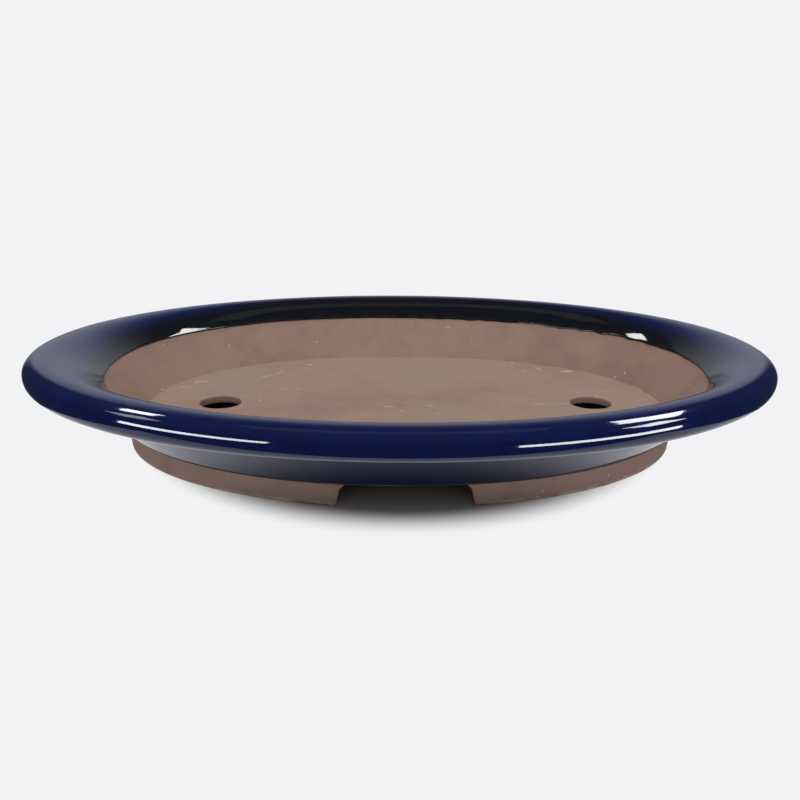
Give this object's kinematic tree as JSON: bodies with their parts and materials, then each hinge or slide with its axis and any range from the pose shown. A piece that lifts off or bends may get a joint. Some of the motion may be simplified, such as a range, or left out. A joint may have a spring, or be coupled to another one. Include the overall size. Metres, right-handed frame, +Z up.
{
  "type": "bonsai pot",
  "caption": "Shallow oval stoneware bonsai pot with a wide rolled lip glazed cobalt blue, bare clay inside, drain holes and low feet with gaps between them.",
  "frame": {"origin": "middle of the footprint, on the surface that the feet stand on", "axes": "+X along the pot's length, +Y across it, +Z up out of the planting opening"},
  "size_m": [0.45, 0.332, 0.058],
  "materials": {
    "bare_clay": "unglazed, matt, warm grey-brown, dusty on the floor",
    "cobalt_glaze": "deep cobalt blue, glossy, thin and browner at its edges"
  },
  "bodies": {
    "root": {"floor_slab": "bare_clay", "side_wall": "bare_clay", "lip": "bare_clay", "foot_left": "bare_clay", "foot_right": "bare_clay", "glaze_coat": "cobalt_glaze"}
  },
  "joints": []
}
